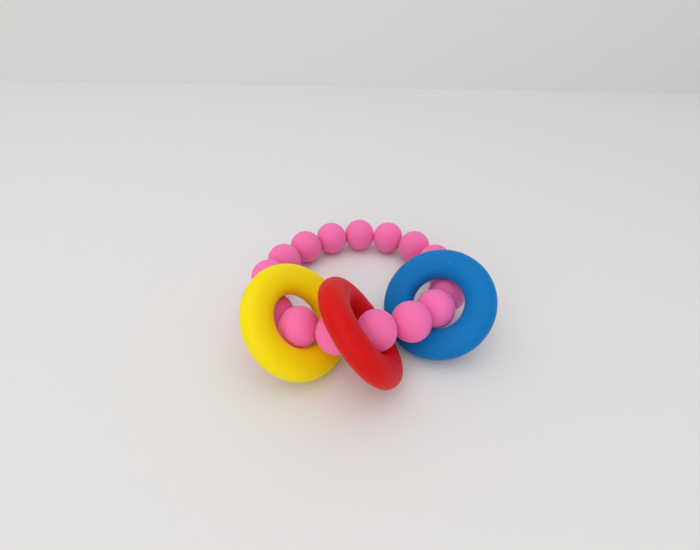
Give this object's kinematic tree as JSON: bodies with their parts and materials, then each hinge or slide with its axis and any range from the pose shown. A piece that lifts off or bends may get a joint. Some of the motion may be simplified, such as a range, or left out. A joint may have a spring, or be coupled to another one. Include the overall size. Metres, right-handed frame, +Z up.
{
  "type": "teething ring",
  "caption": "Loop of round silicone beads on a knotted cord with three loose silicone rings threaded on it, for a baby to hold and chew.",
  "frame": {"origin": "on the table, under the middle of the whole object's box", "axes": "+Z up from the table, -Y towards the three rings at the front, +X to the blue ring's side"},
  "size_m": [0.0962, 0.1036, 0.0367],
  "materials": {
    "beads": "matte pink silicone",
    "yellow_ring": "matte yellow silicone",
    "red_ring": "matte red silicone",
    "blue_ring": "matte blue silicone",
    "cord": "twisted polyester cord"
  },
  "bodies": {
    "string": {"cord": "cord", "cord_knot": "cord"},
    "yellow_ring": {"yellow_ring": "yellow_ring"},
    "red_ring": {"red_ring": "red_ring"},
    "blue_ring": {"blue_ring": "blue_ring"},
    "bead_01": {"bead_01": "beads"},
    "bead_02": {"bead_02": "beads"},
    "bead_03": {"bead_03": "beads"},
    "bead_04": {"bead_04": "beads"},
    "bead_05": {"bead_05": "beads"},
    "bead_06": {"bead_06": "beads"},
    "bead_07": {"bead_07": "beads"},
    "bead_08": {"bead_08": "beads"},
    "knot_bead": {"knot_bead": "beads"},
    "bead_10": {"bead_10": "beads"},
    "bead_11": {"bead_11": "beads"},
    "bead_12": {"bead_12": "beads"},
    "bead_13": {"bead_13": "beads"},
    "bead_14": {"bead_14": "beads"},
    "bead_15": {"bead_15": "beads"},
    "bead_16": {"bead_16": "beads"},
    "bead_17": {"bead_17": "beads"}
  },
  "joints": [
    {"name": "yellow_ring_lean", "type": "hinge", "parent": "string", "child": "yellow_ring", "pos_m": [-0.01403, -0.02982, 0.00535], "axis": [0.4337, 0.9011, 0], "range_deg": [0, 20]},
    {"name": "red_ring_lean", "type": "hinge", "parent": "string", "child": "red_ring", "pos_m": [0.0078, -0.0281, 0.00549], "axis": [-0.2504, 0.9681, 0], "range_deg": [0, 20]},
    {"name": "blue_ring_lean", "type": "hinge", "parent": "string", "child": "blue_ring", "pos_m": [0.01987, -0.02076, 0.0053], "axis": [0.7547, -0.6561, 0], "range_deg": [0, 12]},
    {"name": "bead_01_spin", "type": "hinge", "parent": "string", "child": "bead_01", "pos_m": [-0.04057, 0.00781, 0.00872], "axis": [0.1477, 0.9816, -0.1212], "continuous": true},
    {"name": "bead_02_spin", "type": "hinge", "parent": "string", "child": "bead_02", "pos_m": [-0.03609, 0.02111, 0.00768], "axis": [0.4784, 0.8778, -0.0248], "continuous": true},
    {"name": "bead_03_spin", "type": "hinge", "parent": "string", "child": "bead_03", "pos_m": [-0.0275, 0.03232, 0.0075], "axis": [0.7238, 0.69, 0], "continuous": true},
    {"name": "bead_04_spin", "type": "hinge", "parent": "string", "child": "bead_04", "pos_m": [-0.01589, 0.04038, 0.0075], "axis": [0.8991, 0.4377, 0], "continuous": true},
    {"name": "bead_05_spin", "type": "hinge", "parent": "string", "child": "bead_05", "pos_m": [-0.00235, 0.04427, 0.0075], "axis": [0.9944, 0.1053, 0], "continuous": true},
    {"name": "bead_06_spin", "type": "hinge", "parent": "string", "child": "bead_06", "pos_m": [0.01161, 0.04299, 0.0075], "axis": [0.9589, -0.2838, 0], "continuous": true},
    {"name": "bead_07_spin", "type": "hinge", "parent": "string", "child": "bead_07", "pos_m": [0.02389, 0.0363, 0.00752], "axis": [0.7583, -0.6519, 0.0023], "continuous": true},
    {"name": "bead_08_spin", "type": "hinge", "parent": "string", "child": "bead_08", "pos_m": [0.0323, 0.02517, 0.00807], "axis": [0.4183, -0.9052, 0.0753], "continuous": true},
    {"name": "knot_bead_spin", "type": "hinge", "parent": "string", "child": "knot_bead", "pos_m": [0.03547, 0.01163, 0.00971], "axis": [0.0247, -0.9877, 0.1543], "continuous": true},
    {"name": "bead_10_spin", "type": "hinge", "parent": "string", "child": "bead_10", "pos_m": [0.03329, -0.00203, 0.01222], "axis": [-0.329, -0.9238, 0.1961], "continuous": true},
    {"name": "bead_11_spin", "type": "hinge", "parent": "string", "child": "bead_11", "pos_m": [0.02663, -0.01417, 0.015], "axis": [-0.6037, -0.7736, 0.1925], "continuous": true},
    {"name": "bead_12_spin", "type": "hinge", "parent": "string", "child": "bead_12", "pos_m": [0.0165, -0.02376, 0.01731], "axis": [-0.8129, -0.5675, 0.1307], "continuous": true},
    {"name": "bead_13_spin", "type": "hinge", "parent": "string", "child": "bead_13", "pos_m": [0.00382, -0.02983, 0.01835], "axis": [-0.9593, -0.282, 0.0147], "continuous": true},
    {"name": "bead_14_spin", "type": "hinge", "parent": "string", "child": "bead_14", "pos_m": [-0.01012, -0.03125, 0.01775], "axis": [-0.9915, 0.0841, -0.099], "continuous": true},
    {"name": "bead_15_spin", "type": "hinge", "parent": "string", "child": "bead_15", "pos_m": [-0.02343, -0.02732, 0.01588], "axis": [-0.8702, 0.4653, -0.1621], "continuous": true},
    {"name": "bead_16_spin", "type": "hinge", "parent": "string", "child": "bead_16", "pos_m": [-0.03395, -0.01844, 0.01339], "axis": [-0.601, 0.7775, -0.1852], "continuous": true},
    {"name": "bead_17_spin", "type": "hinge", "parent": "string", "child": "bead_17", "pos_m": [-0.03994, -0.00604, 0.01083], "axis": [-0.2358, 0.9562, -0.1735], "continuous": true}
  ],
  "couplings": [
    {"joint": "yellow_ring_lean", "follows": "red_ring_lean", "ratio": 1}
  ]
}
